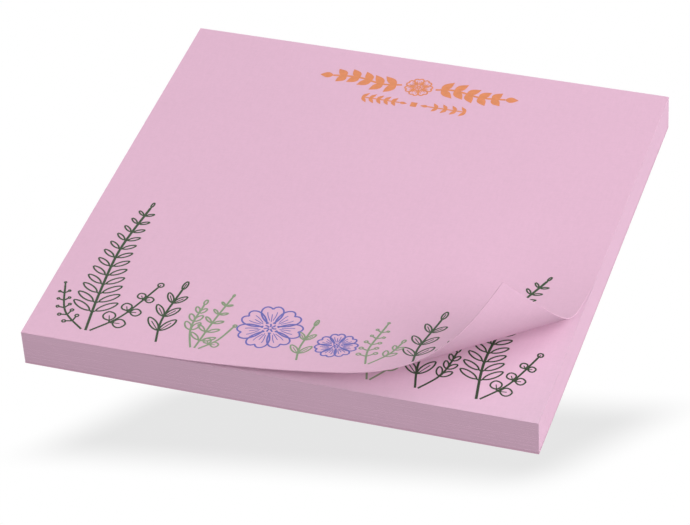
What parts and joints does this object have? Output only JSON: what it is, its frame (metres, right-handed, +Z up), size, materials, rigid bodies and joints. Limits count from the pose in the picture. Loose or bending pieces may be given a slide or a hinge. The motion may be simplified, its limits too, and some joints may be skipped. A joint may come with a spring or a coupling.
{
  "type": "sticky note pad",
  "caption": "Square pad of self-stick notes glued along one edge, with the first note curled up at a front corner and a backing sheet beneath.",
  "frame": {"origin": "middle of the pad's underside, which rests on the desk", "axes": "+Z up through the notes, +Y towards the glued back edge, +X to the right of somebody who writes on the pad"},
  "size_m": [0.076, 0.076, 0.0222],
  "materials": {
    "note_paper": "matte",
    "backing_paper": "matte",
    "print_ink": "matte"
  },
  "bodies": {
    "root": {"top_note": "note_paper", "sheet_stack": "note_paper", "backing_sheet": "backing_paper"}
  },
  "joints": []
}
